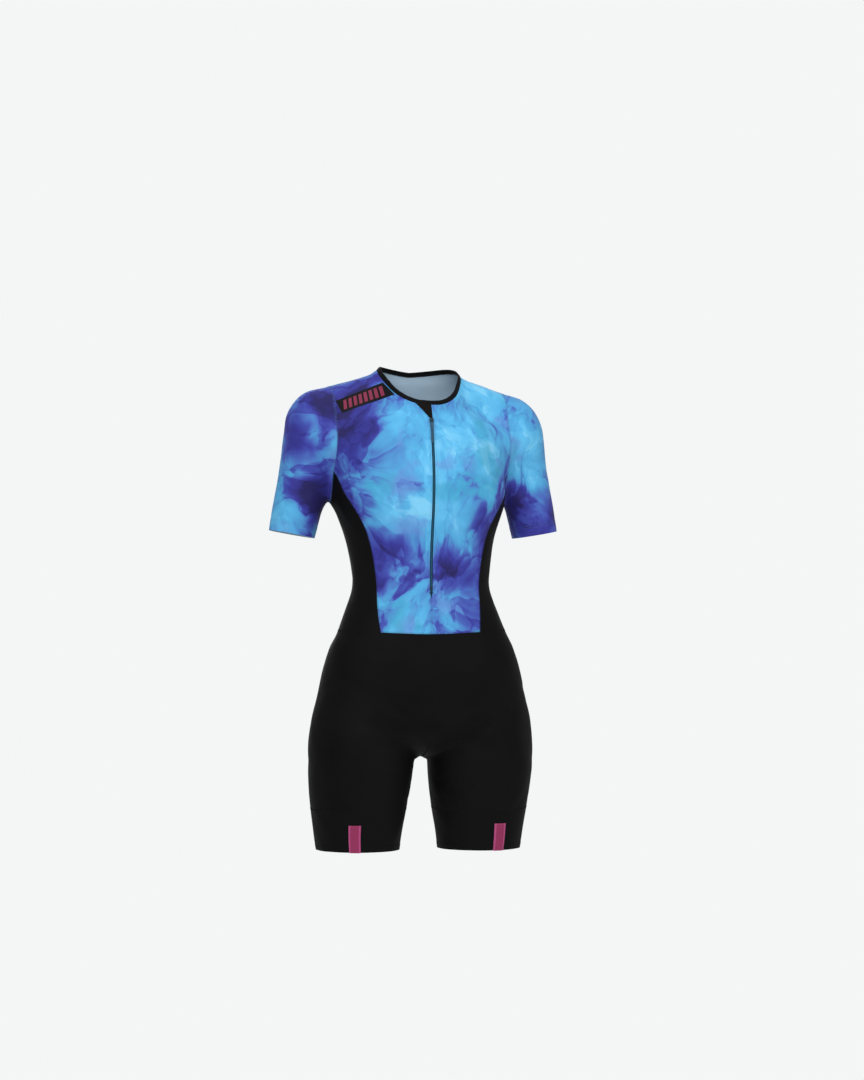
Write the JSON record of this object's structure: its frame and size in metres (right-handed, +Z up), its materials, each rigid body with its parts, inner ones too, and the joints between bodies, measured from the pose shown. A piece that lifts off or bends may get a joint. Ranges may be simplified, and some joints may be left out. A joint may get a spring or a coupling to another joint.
{
  "type": "triathlon suit",
  "caption": "Short-sleeved one-piece triathlon suit in its hollow worn form, with a front zip, black side panels and shorts, and a marbled blue top.",
  "frame": {"origin": "between the two neck points of the shoulders, in the middle of the neck opening, where the wearer's shoulders hold the suit up", "axes": "+Z up along the body, the front faces -Y, +X towards the wearer's left"},
  "size_m": [0.5016, 0.2316, 0.8204],
  "materials": {
    "printed_knit": "sublimation-printed stretch knit, smooth with a slight sheen",
    "black_knit": "black stretch knit, smooth with a slight sheen",
    "gripper_band": "black elastic band knit, matt",
    "binding": "black folded binding, matt",
    "pink_tab": "pink woven reflective tape",
    "zip_tape": "dark teal woven tape",
    "zip_coil": "nylon coil",
    "slider_metal": "satin dark enamel",
    "pull_rubber": "moulded soft pull, satin"
  },
  "bodies": {
    "suit": {"front_left": "printed_knit", "front_right": "printed_knit", "back": "printed_knit", "sleeve_left": "printed_knit", "sleeve_right": "printed_knit", "side_left": "black_knit", "side_right": "black_knit", "shorts_left": "black_knit", "shorts_right": "black_knit", "leg_band_left": "gripper_band", "leg_band_right": "gripper_band", "neck_binding": "binding", "zip_guard": "binding", "hem_tab_left": "pink_tab", "hem_tab_right": "pink_tab", "zip_tape_left": "zip_tape", "zip_tape_right": "zip_tape", "zip_chain": "zip_coil", "zip_stop": "slider_metal", "zip_slider": "slider_metal"},
    "zip_pull": {"zip_pull": "pull_rubber"}
  },
  "joints": [
    {"name": "zip_pull_swing", "type": "hinge", "parent": "suit", "child": "zip_pull", "pos_m": [0.00453, -0.08341, -0.08938], "axis": [-0.9984, -0.0482, 0.028], "range_deg": [0, 150]}
  ]
}
